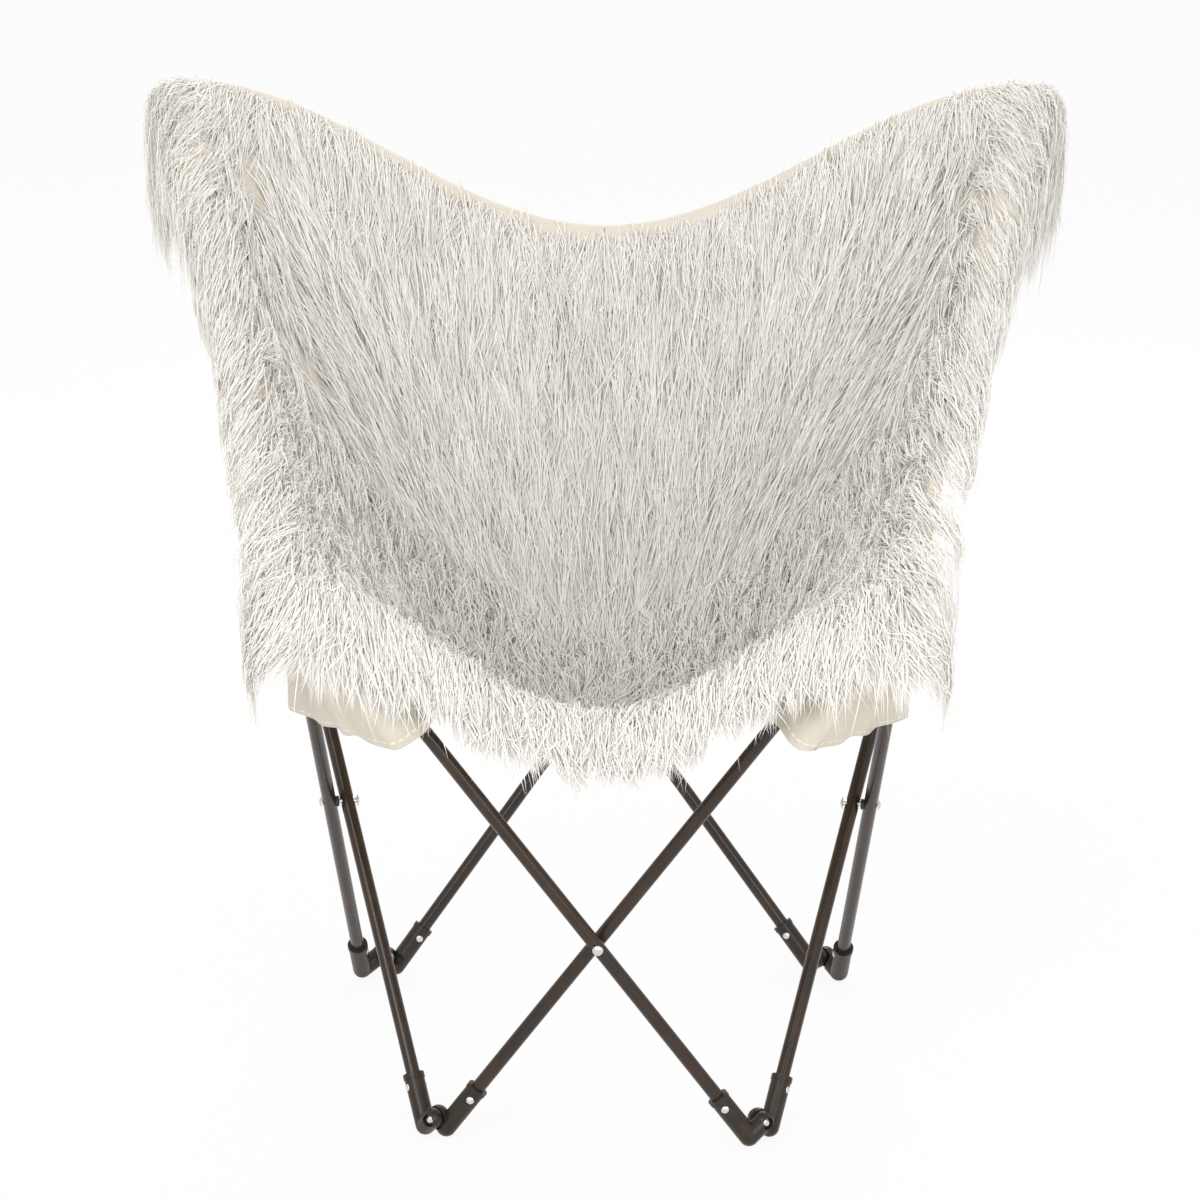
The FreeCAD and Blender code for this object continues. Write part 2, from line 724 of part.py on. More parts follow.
for tube in tubes:
    makeTube(tube)
    makePins(tube)
for hinge in feet + corners:
    makeElbow(hinge, hinge.outer)
    makeElbow(hinge, hinge.inner)
    makeHingeRivet(hinge)
for crossing in crossings:
    makeCrossing(crossing)
makeCover()
doc.recompute()

for item in doc.Objects:
    if "Invalid" in item.State or "Error" in item.State:
        raise RuntimeError("failed object: " + item.Label)
os.makedirs("parts", exist_ok=True)
for item in nodes:
    if item.Shape.isNull() or not item.Shape.isValid():
        raise RuntimeError("bad shape: " + item.Label)
    item.Shape.exportStep("parts/" + item.Label + ".step")
print("nodes", len(nodes))
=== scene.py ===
import json
import math

import bmesh
import bpy
import numpy as np
from mathutils import Matrix, Vector


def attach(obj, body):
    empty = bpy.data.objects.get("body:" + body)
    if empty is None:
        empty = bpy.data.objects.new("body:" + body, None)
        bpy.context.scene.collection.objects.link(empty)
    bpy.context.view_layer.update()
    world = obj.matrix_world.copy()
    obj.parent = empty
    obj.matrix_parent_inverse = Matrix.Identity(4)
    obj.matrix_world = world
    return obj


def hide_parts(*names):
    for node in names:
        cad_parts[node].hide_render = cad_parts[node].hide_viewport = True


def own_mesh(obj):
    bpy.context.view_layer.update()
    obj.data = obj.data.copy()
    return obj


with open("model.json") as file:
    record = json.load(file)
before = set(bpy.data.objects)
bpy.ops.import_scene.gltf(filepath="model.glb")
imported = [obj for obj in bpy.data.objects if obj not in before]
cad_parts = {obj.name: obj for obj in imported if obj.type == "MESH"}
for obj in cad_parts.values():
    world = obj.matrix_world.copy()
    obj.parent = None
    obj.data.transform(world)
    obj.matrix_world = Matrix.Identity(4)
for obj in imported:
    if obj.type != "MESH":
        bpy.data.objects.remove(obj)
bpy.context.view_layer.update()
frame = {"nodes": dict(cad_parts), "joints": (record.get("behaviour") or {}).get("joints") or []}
joints = {joint["name"]: joint for joint in frame["joints"]}
random = np.random.default_rng(11)
up = np.array([0.0, 0.0, 1.0])
level = np.array([1.0, 1.0, 0.0])


class Flow:
    # A value in a shader, so that sums of nodes read as sums.
    def __init__(self, tree, socket):
        self.tree = tree
        self.socket = socket

    def node(self, kind, settings, sockets, output=0):
        made = self.tree.nodes.new("ShaderNode" + kind)
        for name, setting in settings.items():
            setattr(made, name, setting)
        for name, given in sockets.items():
            if isinstance(given, Flow):
                self.tree.links.new(given.socket, made.inputs[name])
            else:
                made.inputs[name].default_value = given
        return Flow(self.tree, made.outputs[output])

    def maths(self, operation, first, second=0.0):
        return self.node("Math", {"operation": operation}, {0: first, 1: second})

    def __add__(self, other):
        return self.maths("ADD", self, other)

    def __sub__(self, other):
        return self.maths("SUBTRACT", self, other)

    def __rsub__(self, other):
        return self.maths("SUBTRACT", other, self)

    def __mul__(self, other):
        return self.maths("MULTIPLY", self, other)

    __radd__ = __add__
    __rmul__ = __mul__

    def mix(self, first, second):
        return self.node("Mix", {"data_type": "RGBA"}, {0: self, 6: first, 7: second}, 2)

    def noise(self, scale, detail):
        return self.node("TexNoise", {}, {"Vector": self, "Scale": scale, "Detail": detail})

    def bump(self, strength, distance):
        return self.node("Bump", {}, {"Strength": strength, "Distance": distance, "Height": self})


class Finish:
    # A material with one shader: constants on its own sockets, and flows into the rest.
    def __init__(self, name, constants):
        self.material = bpy.data.materials.new(name)
        self.material.use_nodes = True
        self.tree = self.material.node_tree
        self.shader = self.tree.nodes["Principled BSDF"]
        for socket, value in constants.items():
            self.shader.inputs[socket].default_value = value
        self.place = Flow(self.tree, self.tree.nodes.new("ShaderNodeTexCoord").outputs["Object"])

    def feed(self, **flows):
        for name, flow in flows.items():
            self.tree.links.new(flow.socket, self.shader.inputs[name.replace("_", " ")])


def enamelFinish():
    constants = {"Specular IOR Level": 0.3, "Coat Weight": 0.25, "Coat Roughness": 0.06}
    made = Finish("bronze_enamel", constants)
    cloud = made.place.noise(38.0, 4.0)
    speck = made.place.noise(900.0, 2.0)
    made.feed(
        Base_Color=cloud.mix((0.012, 0.007, 0.004, 1), (0.05, 0.029, 0.016, 1)),
        Roughness=0.14 + 0.14 * cloud + 0.06 * speck,
        Normal=speck.bump(0.12, 0.0004),
    )
    return made.material


def elbowFinish():
    constants = {"Specular IOR Level": 0.32, "Coat Weight": 0.12, "Coat Roughness": 0.2}
    made = Finish("moulded_elbow", constants)
    cloud = made.place.noise(60.0, 3.0)
    grain = made.place.noise(1500.0, 2.0)
    made.feed(
        Base_Color=cloud.mix((0.012, 0.008, 0.005, 1), (0.04, 0.026, 0.016, 1)),
        Roughness=0.26 + 0.2 * cloud,
        Normal=grain.bump(0.25, 0.0003),
    )
    return made.material


def rivetFinish():
    made = Finish("plated_rivet", {"Metallic": 1.0})
    cloud = made.place.noise(420.0, 3.0)
    made.feed(
        Base_Color=cloud.mix((0.58, 0.57, 0.55, 1), (0.84, 0.83, 0.8, 1)),
        Roughness=0.2 + 0.25 * cloud,
        Normal=cloud.bump(0.1, 0.0002),
    )
    return made.material


def spacerFinish():
    made = Finish("nylon_spacer", {"Specular IOR Level": 0.35})
    cloud = made.place.noise(200.0, 3.0)
    made.feed(
        Base_Color=cloud.mix((0.02, 0.018, 0.016, 1), (0.05, 0.045, 0.04, 1)),
        Roughness=0.45 + 0.2 * cloud,
        Normal=cloud.bump(0.15, 0.0003),
    )
    return made.material


def furFinish():
    constants = {"Sheen Weight": 0.25, "Sheen Roughness": 0.4, "Specular IOR Level": 0.35}
    made = Finish("long_pile", constants)
    # The tone attribute holds random strand and lock tones and also painted shade: darker roots and a
    # dark skin under the pile. The dark end of the mix below is the colour of that painted shade.
    tone = made.place.node("Attribute", {"attribute_name": "tone"}, {}, 2)
    cloud = made.place.noise(14.0, 3.0)
    shade = tone * (0.9 + 0.15 * cloud)
    made.feed(
        Base_Color=shade.mix((0.66, 0.6, 0.5, 1), (0.97, 0.957, 0.928, 1)),
        Roughness=0.72 - 0.22 * tone,
    )
    return made.material


def canvasFinish():
    weave = {"pitch": 0.0013, "depth": 0.0003}
    stitch = {"inset": 0.008, "halfWidth": 0.0006, "pitch": 0.0046, "gap": -0.35, "relief": 2.5}
    hem = {"insets": 1.3, "relief": 1.5}
    made = Finish("cream_canvas", {"Sheen Weight": 0.2})
    across = made.place.node("SeparateXYZ", {}, {"Vector": made.place}, 0)
    rise = Flow(made.tree, across.socket.node.outputs["Z"])
    depth = Flow(made.tree, across.socket.node.outputs["Y"])
    turns = 2 * math.pi / weave["pitch"]
    threads = across.maths("SINE", across * turns) * across.maths("SINE", (rise + depth) * turns)
    cloud = made.place.noise(25.0, 4.0)
    slub = made.place.noise(500.0, 2.0)
    rim = made.place.node("Attribute", {"attribute_name": "rim"}, {}, 2)
    run = made.place.node("Attribute", {"attribute_name": "run"}, {}, 2)
    fromRow = rim.maths("ABSOLUTE", rim - stitch["inset"])
    line = rim.maths("LESS_THAN", fromRow, stitch["halfWidth"])
    beat = run.maths("SINE", run * (2 * math.pi / stitch["pitch"]))
    dash = run.maths("GREATER_THAN", beat, stitch["gap"])
    sewn = line * dash
    folded = rim.maths("LESS_THAN", rim, hem["insets"] * stitch["inset"])
    cloth = (0.7 * cloud + 0.3 * slub).mix((0.56, 0.5, 0.4, 1), (0.74, 0.69, 0.59, 1))
    relief = threads + slub + stitch["relief"] * sewn + hem["relief"] * folded
    made.feed(
        Base_Color=sewn.mix(cloth, (0.86, 0.82, 0.73, 1)),
        Roughness=0.78 + 0.12 * slub,
        Normal=relief.bump(0.5, weave["depth"]),
    )
    return made.material


finishes = {
    "tube": enamelFinish(),
    "elbow": elbowFinish(),
    "rivet": rivetFinish(),
    "spacer": spacerFinish(),
    "fur": furFinish(),
    "canvas": canvasFinish(),
}
namedKinds = ("elbow", "rivet", "spacer")
for name, node in frame["nodes"].items():
    kind = next((word for word in namedKinds if word in name), "tube")
    node.data.materials.clear()
    node.data.materials.append(finishes[kind])
print("stage: frame finishes")


def unit(vector):
    return vector / np.linalg.norm(vector, axis=-1, keepdims=True)


def hingePoint(joint):
    return np.array(joints[joint]["pos_m"])


def turnAxis(joint):
    return np.array(joints[joint]["axis"])


def cornerAxis(corner, first, second):
    # The way a corner's rivet points, out of the chair.
    axis = unit(turnAxis(first) - turnAxis(second))
    return axis * np.sign(axis[:2] @ corner[:2])


slingSize = {
    "front": (-0.010, 0.402),
    "seat": (0.226, 0.306),
    "crease": (0.446, 0.362),
    "back": (0.518, 0.540),
    "hem": (0.562, 0.722),
    "frontReach": 0.044,
    "frontRise": 0.045,
    "wingReach": 0.006,
    "wingRise": 0.047,
    "bow": 0.014,
    "lean": 0.9,
    "canvas": 0.0024,
}
frontCorner = hingePoint("front_right_cover_turn")
rearCorner = hingePoint("rear_right_cover_turn")
frontWay = cornerAxis(frontCorner, "fold", "right_short_turn")
frontEdge = frontCorner + frontWay * slingSize["frontReach"] + up * slingSize["frontRise"]
wingWay = cornerAxis(rearCorner, "rear_left_turn", "right_long_turn")
wing = rearCorner + wingWay * slingSize["wingReach"] + up * slingSize["wingRise"]
edgeRun = unit(wing - frontEdge)
bow = unit(np.array([-slingSize["lean"], 0, 1]))
bow = unit(bow - edgeRun * (bow @ edgeRun)) * slingSize["bow"]
creaseEdge = (frontEdge + wing) / 2 + bow
edges = {
    "front": frontEdge,
    "seat": (frontEdge + creaseEdge) / 2 + bow / 4,
    "crease": creaseEdge,
    "back": (wing + creaseEdge) / 2 + bow / 4,
    "hem": wing,
}


def crossLine(name, share):
    # One curve across the sling, where share runs from -1 at the left edge to 1 at the right one.
    wide = np.abs(share)
    lift = (1 - np.cos(np.pi * wide)) / 2 if name in ("front", "hem") else wide ** 2
    depth, height = slingSize[name]
    middle = np.array([0, frontCorner[1] + depth, height])
    run = edges[name] - middle
    return np.stack([run[0] * share, middle[1] + run[1] * lift, middle[2] + run[2] * lift], -1)


def slingPoint(share, along):
    # A point of the sling: along runs from 0 at the front hem over 1 at the crease to 2 at the back hem.
    onBack = (along > 1)[..., None]
    first = np.where(onBack, crossLine("crease", share), crossLine("front", share))
    second = np.where(onBack, crossLine("back", share), crossLine("seat", share))
    third = np.where(onBack, crossLine("hem", share), crossLine("crease", share))
    step = np.where(along > 1, along - 1, along)[..., None]
    start = (1 - step) * (1 - 2 * step) * first
    middle = 4 * step * (1 - step) * second
    return start + middle + step * (2 * step - 1) * third


def slingFrame(share, along):
    # The sling's point with its two directions and its inner normal.
    nudge = 0.004
    share = np.clip(share, -1, 1)
    along = np.clip(along, 0, 2)
    left, right = np.clip(share - nudge, -1, 1), np.clip(share + nudge, -1, 1)
    low, high = np.clip(along - nudge, 0, 2), np.clip(along + nudge, 0, 2)
    across = (slingPoint(right, along) - slingPoint(left, along)) / (right - left)[..., None]
    forth = (slingPoint(share, high) - slingPoint(share, low)) / (high - low)[..., None]
    return slingPoint(share, along), across, forth, unit(np.cross(across, forth))


fallSize = {
    "roll": 0.013,
    "turn": 1.5,
    "seatRun": 0.48,
    "halfWidth": 0.36,
    "backRun": 0.4,
    "hemRoll": 0.008,
    "hemTurn": 2.8,
    "sideRoll": 0.023,
    "sideTurn": 1.35,
    "sideOver": ((0, 0.006), (0.5, 0.012), (0.9, 0.03), (1.55, 0.03), (2, 0.085)),
    "wingFrom": 1.55,
    "tiny": 1e-9,
}


def overhang(along):
    # How far the fur goes on past a side edge, in shares of the half width; it wraps each wing's corner.
    spots, reaches = zip(*fallSize["sideOver"])
    return np.interp(along, spots, reaches) / fallSize["halfWidth"]


def rolled(run, roll, turn):
    # The angle that a run of cloth turns round a roll, and what is left of the run past it.
    return np.minimum(run / roll, turn), np.maximum(run - roll * turn, 0)


def coverPoint(share, along, height):
    # A point above the sling; past its edges the cover rolls over the front hem, a side or the back hem.
    point, across, forth, normal = slingFrame(share, along)
    roll = fallSize["roll"]
    over = np.maximum(-along, 0)[..., None] * fallSize["seatRun"]
    angle, hanging = rolled(over, roll, fallSize["turn"])
    ahead = unit(-forth * level + fallSize["tiny"])
    point = point + ahead * roll * np.sin(angle) - up * (roll * (1 - np.cos(angle)) + hanging)
    normal = np.where(angle > 0, unit(up * np.cos(angle) + ahead * np.sin(angle)), normal)
    roll = fallSize["sideRoll"]
    aside = np.maximum(np.abs(share) - 1, 0)[..., None] * fallSize["halfWidth"]
    angle, hanging = rolled(aside, roll, fallSize["sideTurn"])
    outward = unit(across * level) * np.sign(share)[..., None]
    point = point + outward * roll * np.sin(angle)
    point = point - up * (roll * (1 - np.cos(angle)) + hanging)
    normal = np.where(angle > 0, unit(normal * np.cos(angle) + outward * np.sin(angle)), normal)
    roll = fallSize["hemRoll"]
    above = np.maximum(along - 2, 0)[..., None] * fallSize["backRun"]
    angle, hanging = rolled(above, roll, fallSize["hemTurn"])
    rising = unit(forth)
    point = point + rising * (roll * np.sin(angle) - hanging)
    point = point - normal * roll * (1 - np.cos(angle))
    normal = np.where(angle > 0, unit(normal * np.cos(angle) + rising * np.sin(angle)), normal)
    return point + normal * np.asarray(height)[..., None], normal


def makeMesh(name, points, faces, finish):
    mesh = bpy.data.meshes.new(name)
    mesh.from_pydata(points, [], faces)
    mesh.materials.append(finishes[finish])
    mesh.update()
    made = bpy.data.objects.new(name, mesh)
    bpy.context.scene.collection.objects.link(made)
    return made


def setValues(made, name, values):
    attribute = made.data.attributes.new(name, "FLOAT", "POINT")
    attribute.data.foreach_set("value", values.astype(np.float32))


def gridFaces(rows, columns, start):
    spots = np.arange(rows * columns).reshape(rows, columns) + start
    return np.stack([spots[:-1, :-1], spots[:-1, 1:], spots[1:, 1:], spots[1:, :-1]], -1).reshape(-1, 4)


def slab(across, forth, low, high):
    # A sheet with two sides and closed edges, between two heights above a grid on the sling.
    rows, columns = across.shape
    top = coverPoint(across, forth, np.full(across.shape, high))[0].reshape(-1, 3)
    bottom = coverPoint(across, forth, np.full(across.shape, low))[0].reshape(-1, 3)
    count = rows * columns
    spots = np.arange(count).reshape(rows, columns)
    rim = np.concatenate([spots[0, :-1], spots[:-1, -1], spots[-1, :0:-1], spots[:0:-1, 0]])
    after = np.roll(rim, -1)
    walls = np.stack([rim, rim + count, after + count, after], -1)
    faces = np.concatenate([gridFaces(rows, columns, 0), gridFaces(rows, columns, count)[:, ::-1], walls])
    return np.concatenate([top, bottom]), faces


furSize = {
    "strands": 37000,
    "clumps": 1250,
    "taper": (1, 1, 0.8),
    "halfWidth": 0.0005,
    "rootSpread": 0.009,
    "tipSpread": 0.0035,
    "skin": (0.0012, 0.005),
    # The skin's tone is painted shade, darker than any strand.
    "skinTone": 0.1,
    "partFrom": 0.8,
    "hemCurl": (0.06, 0.02),
    "hemPart": 2.038,
    "sideCurl": (0.07, 0.06),
    "partTo": 1.02,
    "frontPart": 0.02,
    "wingHang": 0.75,
    "sideHang": 0.5,
    "seamRoot": 0.002,
    "lengthSpread": (0.7, 1.15),
    "strays": 0.12,
    "strayReach": 0.014,
    "strayLift": 0.012,
    "waves": 5,
    "wavePhase": 6.3,
    "waveReach": 0.0022,
    "curlArch": (0.8, 0.85),
    "liftArch": (0.7, 0.92),
    "liftSpread": (0.5, 1.2),
    "rootDepth": 0.8,
    "roll": 0.6,
    "strandTone": (0.86, 1),
    "lockTone": (0.9, 1),
    # The rise in tone from a strand's root to its tip is painted shade in the pile.
    "toneRise": (0.8, 0.2),
    "columns": 44,
    "seamGap": 0.001,
    "seat": {
        "from": -0.07,
        "to": 1.02,
        "length": (0.04, 0.062),
        "lift": (0.006, 0.015),
        "brush": -1.2,
        "turn": 0.25,
        "crowd": 0.05,
        "crowdAt": (-0.05, 0.04),
        "rows": ((-0.07 * 0.8, 1.02, 40),),
    },
    "back": {
        "from": 1.02,
        "to": 2.06,
        "length": (0.06, 0.105),
        "lift": (0.003, 0.011),
        "brush": 0.0,
        "turn": 0.15,
        "crowd": 0.22,
        "crowdAt": (1.98, 2.055),
        "rows": ((1.02, 1.99, 34), (2, 2.06, 9)),
    },
}


def furFlow(share, along, brush):
    # The way the pile lies: down the slope, brushed forward, and outward near the side edges.
    point, across, forth, normal = slingFrame(share, along)
    pull = np.zeros(point.shape)
    pull[:, 1] = brush
    pull[:, 2] = -1
    aa = (across * across).sum(-1)
    ab = (across * forth).sum(-1)
    bb = (forth * forth).sum(-1)
    pa = (across * pull).sum(-1)
    pb = (forth * pull).sum(-1)
    span = aa * bb - ab * ab
    flow = np.stack([(pa * bb - pb * ab) / span, (pb * aa - pa * ab) / span], -1)
    flow[along < furSize["frontPart"]] = [0, -1]
    flow[along > furSize["hemPart"]] = [0, 1]
    flow = flow / np.linalg.norm(across * flow[:, :1] + forth * flow[:, 1:], axis=-1)[:, None]
    parting = furSize["partTo"] - furSize["partFrom"]
    near = np.clip((np.abs(share) - furSize["partFrom"]) / parting, 0, 1)[:, None]
    hang = np.where(along > fallSize["wingFrom"], furSize["wingHang"], furSize["sideHang"])
    hanging = np.stack([np.sign(share) * hang / np.sqrt(aa), -(1 - hang) / np.sqrt(bb)], -1)
    flow = flow * (1 - near) + hanging * near
    reach = np.linalg.norm(across * flow[:, :1] + forth * flow[:, 1:], axis=-1)
    return flow / reach[:, None], 1 / np.sqrt(aa), 1 / np.sqrt(bb)


def arch(step, lean, turn):
    # A rise from a strand's root and a fall to its tip.
    return np.sin(np.pi * step ** lean * turn)


def makeRibbons(centreLine, normal):
    # Flat tapered ribbons along the centre lines, each with a triangle as its tip.
    strands = len(centreLine)
    tangent = unit(np.gradient(centreLine, axis=1))
    flat = unit(np.cross(tangent, normal))
    roll = random.normal(0, furSize["roll"], strands)[:, None, None]
    flat = flat * np.cos(roll) + np.cross(tangent, flat) * np.sin(roll)
    wide = furSize["halfWidth"] * np.array(furSize["taper"])[:, None]
    body, flat = centreLine[:, :-1], flat[:, :-1]
    ribbon = np.stack([body - flat * wide, body + flat * wide], 2).reshape(strands, -1, 3)
    points = np.concatenate([ribbon, centreLine[:, -1:]], 1)
    count = points.shape[1]
    first = np.arange(strands)[:, None] * count + np.arange(0, count - 3, 2)
    sides = np.stack([first, first + 1, first + 3, first + 2], -1).reshape(-1, 4)
    last = np.arange(1, strands + 1) * count
    ends = np.stack([last - 3, last - 2, last - 1], -1)
    return points.reshape(-1, 3), sides.tolist() + ends.tolist()


def furPile(side, part):
    # Tapered strands in locks: the roots spread over the skin, and the tips of a lock draw together.
    facts = furSize[part]
    clumps, strands = furSize["clumps"], furSize["strands"]
    along = random.uniform(facts["from"], facts["to"], clumps)
    crowded = random.uniform(0, 1, clumps) < facts["crowd"]
    along = np.where(crowded, random.uniform(*facts["crowdAt"], clumps), along)
    share = random.uniform(0, 1, clumps) * side * (1 + overhang(along))
    flow, perAcross, perForth = furFlow(share, along, facts["brush"])
    length = random.uniform(*facts["length"], clumps)
    lift = random.uniform(*facts["lift"], clumps)
    turn = random.normal(0, facts["turn"], clumps)
    flow = np.stack([
        flow[:, 0] * np.cos(turn) - flow[:, 1] * np.sin(turn) * perAcross / perForth,
        flow[:, 1] * np.cos(turn) + flow[:, 0] * np.sin(turn) * perForth / perAcross,
    ], -1)
    lock = random.integers(0, clumps, strands)
    scale = np.stack([perAcross, perForth], -1)[lock]
    centre = np.stack([share, along], -1)[lock]
    root = centre + random.normal(0, furSize["rootSpread"], (strands, 2)) * scale
    root[:, 1] = np.clip(root[:, 1], facts["from"], facts["to"])
    root[:, 0] = np.clip(root[:, 0] * side, furSize["seamRoot"], 1 + overhang(root[:, 1])) * side
    run = (length[lock] * random.uniform(*furSize["lengthSpread"], strands))[:, None]
    tip = centre + flow[lock] * run + random.normal(0, furSize["tipSpread"], (strands, 2)) * scale
    stray = random.uniform(0, 1, strands) < furSize["strays"]
    wander = random.normal(0, furSize["strayReach"], (strands, 2)) * scale
    tip = tip + np.where(stray[:, None], wander, 0)
    step = np.linspace(0, 1, len(furSize["taper"]) + 1)
    phase = random.uniform(0, furSize["wavePhase"], strands)[:, None]
    swing = random.normal(0, furSize["waveReach"], strands)[:, None]
    wave = np.sin(step * furSize["waves"] + phase) * step * swing
    path = root[:, None] + (tip - root)[:, None] * step[:, None] + wave[..., None] * scale[:, None]
    hemNear, hemRise = furSize["hemCurl"]
    sideNear, sideReach = furSize["sideCurl"]
    curl = arch(step, *furSize["curlArch"]) * random.uniform(0, 1, strands)[:, None]
    atHem = np.clip((root[:, 1] - 2 + hemNear) / hemNear, 0, 1)
    atSide = np.clip((root[:, 0] * side - 1 + sideNear) / sideNear, 0, 1)
    path[..., 1] += curl * (hemRise * atHem)[:, None]
    path[..., 0] += curl * side * (sideReach * atSide)[:, None]
    rise = lift[lock] * random.uniform(*furSize["liftSpread"], strands)
    strayRise = np.where(stray, random.uniform(0, furSize["strayLift"], strands), 0)
    height = rise[:, None] * arch(step, *furSize["liftArch"]) + strayRise[:, None] * step
    height = height + furSize["skin"][1] * furSize["rootDepth"]
    points, faces = makeRibbons(*coverPoint(path[..., 0], path[..., 1], height))
    strandTone = random.uniform(*furSize["strandTone"], strands)
    lockTone = random.uniform(*furSize["lockTone"], clumps)
    # Each strand darkens towards its root: painted shade deep in the pile. The strand and lock tones
    # differ at random.
    rootPaintedShade, tipGain = furSize["toneRise"]
    tone = (strandTone * lockTone[lock])[:, None] * (rootPaintedShade + tipGain * step)
    tone = np.concatenate([np.repeat(tone[:, :-1], 2, axis=1), tone[:, -1:]], 1)
    return points, faces, tone.reshape(-1)


def makeFur(name, side, part):
    facts = furSize[part]
    alongs = np.concatenate([np.linspace(*row) for row in facts["rows"]])
    shares = np.linspace(furSize["seamGap"], 1, furSize["columns"]) * side
    across, forth = np.meshgrid(shares, alongs)
    points, faces = slab(across * (1 + overhang(forth)), forth, *furSize["skin"])
    pilePoints, pileFaces, tone = furPile(side, part)
    faces = pileFaces + (faces + len(pilePoints)).tolist()
    made = makeMesh(name, np.concatenate([pilePoints, points]), faces, "fur")
    # The skin sheet under the strands gets a low tone: painted shade, so that gaps in the pile read as
    # shadowed roots.
    setValues(made, "tone", np.concatenate([tone, np.full(len(points), furSize["skinTone"])]))
    return made


canvasSize = {"rows": 40, "seat": (0, 1), "back": (1.0005, 2), "sharp": 1.0}


def makeCanvas(name, side, part):
    rows = canvasSize["rows"]
    alongs = np.linspace(*canvasSize[part], rows)
    across, forth = np.meshgrid(np.linspace(0, 1, rows) * side, alongs)
    points, faces = slab(across, forth, -slingSize["canvas"], 0)
    made = makeMesh(name, points, faces, "canvas")
    aside = np.minimum(np.abs(across), 1 - np.abs(across)) * fallSize["halfWidth"]
    run = fallSize["seatRun"] if part == "seat" else fallSize["backRun"]
    ends = np.minimum(forth - alongs[0], alongs[-1] - forth) * run
    setValues(made, "rim", np.tile(np.minimum(aside, ends).reshape(-1), 2))
    way = np.where(aside < ends, forth * run, across * fallSize["halfWidth"])
    setValues(made, "run", np.tile(way.reshape(-1), 2))
    made.data.shade_smooth()
    made.data.set_sharp_from_angle(angle=canvasSize["sharp"])
    return made


quarters = (
    ("seat", "left", "left_tube_short", "left_short_turn", "front_left_cover_turn"),
    ("seat", "right", "right_tube_short", "right_short_turn", "front_right_cover_turn"),
    ("back", "left", "left_tube_long", "left_long_turn", "rear_left_cover_turn"),
    ("back", "right", "right_tube_long", "right_long_turn", "rear_right_cover_turn"),
)
for part, word, body, turn, corner in quarters:
    side = -1 if word == "left" else 1
    fur = makeFur("pile_" + part + "_" + word, side, part)
    canvas = makeCanvas("lining_" + part + "_" + word, side, part)
    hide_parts(part + "_fur_" + word)
    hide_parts(part + "_canvas")
    for piece in (fur, canvas):
        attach(piece, body)
        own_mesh(piece)

pocketSize = {
    "tilt": math.radians(40.3),
    "edge": 0.007,
    "passes": 6,
    "weld": 0.00005,
    "folds": 9,
    "fold": 0.0045,
    "fade": 0.085,
    "sway": 1.3,
    "climb": 30,
    "sharp": 0.9,
}


def makePocket(corner, first, second):
    # The bag's CAD form with finer faces, and soft folds that run up from its open end.
    shape = bmesh.new()
    shape.from_mesh(frame["nodes"][corner + "_pocket"].data)
    bmesh.ops.remove_doubles(shape, verts=shape.verts, dist=pocketSize["weld"])
    for _ in range(pocketSize["passes"]):
        longEdges = [edge for edge in shape.edges if edge.calc_length() > pocketSize["edge"]]
        bmesh.ops.subdivide_edges(shape, edges=longEdges, cuts=1)
        bmesh.ops.triangulate(shape, faces=[face for face in shape.faces if len(face.verts) > 3])
    shape.verts.index_update()
    points = np.array([vert.co for vert in shape.verts])
    faces = [[vert.index for vert in face.verts] for face in shape.faces]
    shape.free()
    lean = np.cross(up, turnAxis(first)) + np.cross(up, turnAxis(second))
    rise = unit(lean * math.sin(pocketSize["tilt"]) + 2 * up * math.cos(pocketSize["tilt"]))
    offset = points - points.mean(0)
    lift = offset @ rise
    rim = lift - lift.min()
    radial = offset - lift[:, None] * rise
    wide = unit(np.cross(rise, up))
    angle = np.arctan2(radial @ np.cross(rise, wide), radial @ wide)
    sway = pocketSize["sway"] * np.sin(2 * angle)
    wave = 0.5 + 0.5 * np.sin(angle * pocketSize["folds"] + sway + pocketSize["climb"] * lift)
    depth = pocketSize["fold"] * np.clip(1 - rim / pocketSize["fade"], 0, 1) * wave
    made = makeMesh("bag_" + corner, points + unit(radial) * depth[:, None], faces, "canvas")
    setValues(made, "rim", rim)
    setValues(made, "run", angle * np.linalg.norm(radial, axis=-1).mean())
    made.data.shade_smooth()
    made.data.set_sharp_from_angle(angle=pocketSize["sharp"])
    return made


pockets = (
    ("front_left_corner", "front_cross_turn", "left_short_turn"),
    ("front_right_corner", "fold", "right_short_turn"),
    ("rear_left_corner", "rear_right_turn", "left_long_turn"),
    ("rear_right_corner", "rear_left_turn", "right_long_turn"),
)
for corner, first, second in pockets:
    pocket = makePocket(corner, first, second)
    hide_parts(corner + "_pocket")
    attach(pocket, corner + "_cover")


def stageFinish(name, colour, share):
    # A pale surface that camera rays see as nearly white, and that keeps its shadow.
    made = Finish(name, {"Base Color": colour, "Roughness": 0.9, "Specular IOR Level": 0.1})
    path = made.tree.nodes.new("ShaderNodeLightPath")
    seen = Flow(made.tree, path.outputs["Is Camera Ray"]) + Flow(made.tree, path.outputs["Is Glossy Ray"])
    glow = made.tree.nodes.new("ShaderNodeEmission")
    blend = made.tree.nodes.new("ShaderNodeMixShader")
    made.tree.links.new((seen * share).socket, blend.inputs[0])
    made.tree.links.new(made.shader.outputs[0], blend.inputs[1])
    made.tree.links.new(glow.outputs[0], blend.inputs[2])
    made.tree.links.new(blend.outputs[0], made.tree.nodes["Material Output"].inputs["Surface"])
    return made.material


stageSize = {"reach": 30.0, "colour": (0.88, 0.88, 0.875, 1), "glow": 0.9, "world": 0.82}


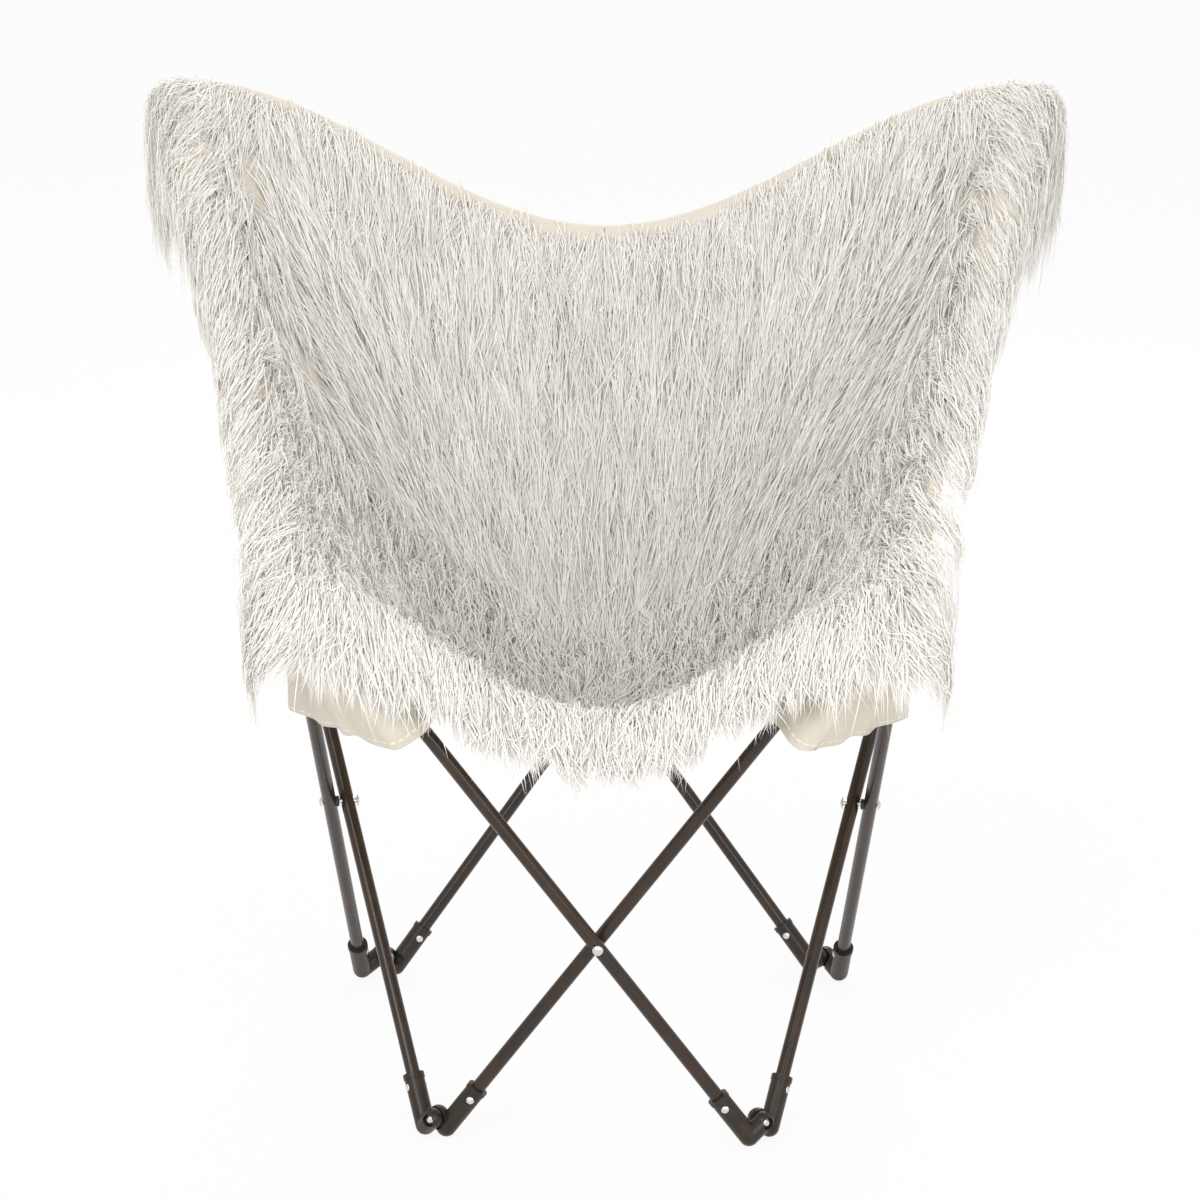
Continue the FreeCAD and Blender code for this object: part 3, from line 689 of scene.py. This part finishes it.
def makeStage():
    reach = stageSize["reach"]
    corners = [(-reach, -reach, 0), (reach, -reach, 0), (reach, reach, 0), (-reach, reach, 0)]
    mesh = bpy.data.meshes.new("floor")
    mesh.from_pydata(corners, [], [(0, 1, 2, 3)])
    mesh.materials.append(stageFinish("pale_floor", stageSize["colour"], stageSize["glow"]))
    floor = bpy.data.objects.new("floor", mesh)
    bpy.context.scene.collection.objects.link(floor)


def makeLight(name, place, aim, width, watts):
    lamp = bpy.data.lights.new(name, "AREA")
    lamp.size = width
    lamp.energy = watts
    made = bpy.data.objects.new(name, lamp)
    bpy.context.scene.collection.objects.link(made)
    made.location = place
    made.rotation_euler = (Vector(aim) - Vector(place)).to_track_quat("-Z", "Y").to_euler()


def makeWorld(strength):
    world = bpy.data.worlds.new("studio")
    bpy.context.scene.world = world
    world.use_nodes = True
    tree = world.node_tree
    back = tree.nodes["Background"]
    path = tree.nodes.new("ShaderNodeLightPath")
    seen = Flow(tree, path.outputs["Is Camera Ray"])
    tree.links.new((seen * (1 - strength) + strength).socket, back.inputs["Strength"])
    back.inputs["Color"].default_value = (1, 1, 1, 1)


lamps = {
    "key": {"place": (-1.3, -3.0, 2.3), "aim": (0, 0, 0.5), "width": 1.8, "watts": 42},
    "fill": {"place": (1.4, -3.2, 1.5), "aim": (0, 0, 0.5), "width": 1.8, "watts": 30},
    "rim": {"place": (0.4, 2.4, 2.4), "aim": (0, 0, 0.6), "width": 1.6, "watts": 30},
}
makeStage()
makeWorld(stageSize["world"])
for name, facts in lamps.items():
    makeLight(name, **facts)

cameraSize = {
    "place": (0.0238, -3.814, 1.5895),
    "pitch": 16.99,
    "yaw": 0.0066,
    "roll": 0.0038,
    "focus": 4155 / 1200,
    "sensor": 36,
}
camera = bpy.data.objects.new("camera", bpy.data.cameras.new("camera"))
bpy.context.scene.collection.objects.link(camera)
camera.data.sensor_width = cameraSize["sensor"]
camera.data.lens = cameraSize["sensor"] * cameraSize["focus"]
camera.matrix_world = (
    Matrix.Translation(cameraSize["place"])
    @ Matrix.Rotation(cameraSize["yaw"], 4, "Z")
    @ Matrix.Rotation(math.radians(90 - cameraSize["pitch"]), 4, "X")
    @ Matrix.Rotation(cameraSize["roll"], 4, "Z")
)
bpy.context.scene.camera = camera
bpy.context.scene.view_settings.view_transform = "Standard"
print("stage: studio")

bpy.context.view_layer.update()
